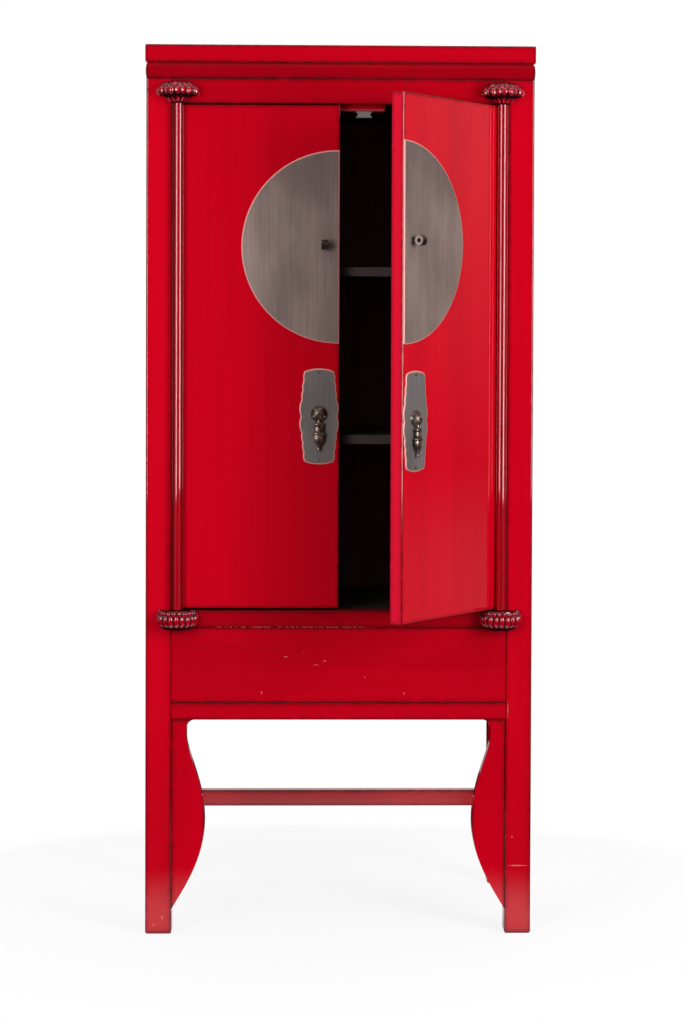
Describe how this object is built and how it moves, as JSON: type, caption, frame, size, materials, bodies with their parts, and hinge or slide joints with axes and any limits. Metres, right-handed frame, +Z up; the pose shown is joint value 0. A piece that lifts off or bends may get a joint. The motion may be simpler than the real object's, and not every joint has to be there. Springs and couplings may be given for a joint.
{
  "type": "chinese wedding cabinet",
  "caption": "Tall red lacquered Chinese wedding cabinet on legs, with two doors turning on round rods between lotus sockets, half-moon plates and drop pulls.",
  "frame": {"origin": "on the floor, under the middle of the carcass", "axes": "+Z up, +X to the right of someone facing the doors, +Y from the doors towards the back"},
  "size_m": [0.82, 0.7259, 1.876],
  "materials": {
    "red_lacquer": "polished red lacquer, edges worn dark",
    "carved_lacquer": "carved and lacquered, rubbed back on the ridges",
    "black_lacquer": "satin black lacquer",
    "aged_bronze": "brushed and blackened, polished rim",
    "dark_bronze": "cast, blackened, worn bright on high spots",
    "steel": "zinc plated"
  },
  "bodies": {
    "carcass": {"leg_front_left": "red_lacquer", "leg_front_right": "red_lacquer", "leg_back_left": "red_lacquer", "leg_back_right": "red_lacquer", "front_top_rail": "red_lacquer", "front_sill_rail": "red_lacquer", "front_apron_rail": "red_lacquer", "belly_panel": "red_lacquer", "spandrel_left": "red_lacquer", "spandrel_right": "red_lacquer", "side_top_rail_left": "red_lacquer", "side_top_rail_right": "red_lacquer", "side_bottom_rail_left": "red_lacquer", "side_bottom_rail_right": "red_lacquer", "side_panel_left": "red_lacquer", "side_panel_right": "red_lacquer", "side_stretcher_left": "red_lacquer", "side_stretcher_right": "red_lacquer", "back_top_rail": "red_lacquer", "back_bottom_rail": "red_lacquer", "back_panel": "black_lacquer", "back_stretcher": "red_lacquer", "cap_front": "red_lacquer", "cap_back": "red_lacquer", "cap_left": "red_lacquer", "cap_right": "red_lacquer", "top_panel": "red_lacquer", "frieze_front": "red_lacquer", "frieze_left": "red_lacquer", "frieze_right": "red_lacquer", "floor_board": "black_lacquer", "shelf_lower": "black_lacquer", "shelf_upper": "black_lacquer", "shelf_battens": "black_lacquer", "stop_block": "red_lacquer", "magnet_catches": "steel", "lotus_lower_left": "carved_lacquer", "lotus_lower_right": "carved_lacquer", "lotus_upper_left": "carved_lacquer", "lotus_upper_right": "carved_lacquer"},
    "door_left": {"door_leaf_left": "red_lacquer", "pivot_rod_left": "red_lacquer", "moon_plate_left": "aged_bronze", "lock_eye_left": "dark_bronze", "handle_plate_left": "aged_bronze", "pull_boss_left": "dark_bronze", "pull_pin_left": "steel", "handle_nails_left": "dark_bronze", "strike_plate_left": "steel"},
    "pull_left": {"pull_drop_left": "dark_bronze"},
    "door_right": {"door_leaf_right": "red_lacquer", "pivot_rod_right": "red_lacquer", "moon_plate_right": "aged_bronze", "lock_eye_right": "dark_bronze", "handle_plate_right": "aged_bronze", "pull_boss_right": "dark_bronze", "pull_pin_right": "steel", "handle_nails_right": "dark_bronze", "strike_plate_right": "steel"},
    "pull_right": {"pull_drop_right": "dark_bronze"}
  },
  "joints": [
    {"name": "door_left_hinge", "type": "hinge", "parent": "carcass", "child": "door_left", "pos_m": [-0.3405, -0.236, 1.22], "axis": [0, 0, -1], "range_deg": [0, 170]},
    {"name": "door_right_hinge", "type": "hinge", "parent": "carcass", "child": "door_right", "pos_m": [0.3405, -0.236, 1.22], "axis": [0, 0, 1], "range_deg": [-51, 119]},
    {"name": "pull_left_swing", "type": "hinge", "parent": "door_left", "child": "pull_left", "pos_m": [-0.0435, -0.236, 1.096], "axis": [-1, 0, 0], "range_deg": [0, 80]},
    {"name": "pull_right_swing", "type": "hinge", "parent": "door_right", "child": "pull_right", "pos_m": [0.15359, -0.46681, 1.096], "axis": [-0.6293, -0.7771, 0], "range_deg": [0, 80]}
  ]
}
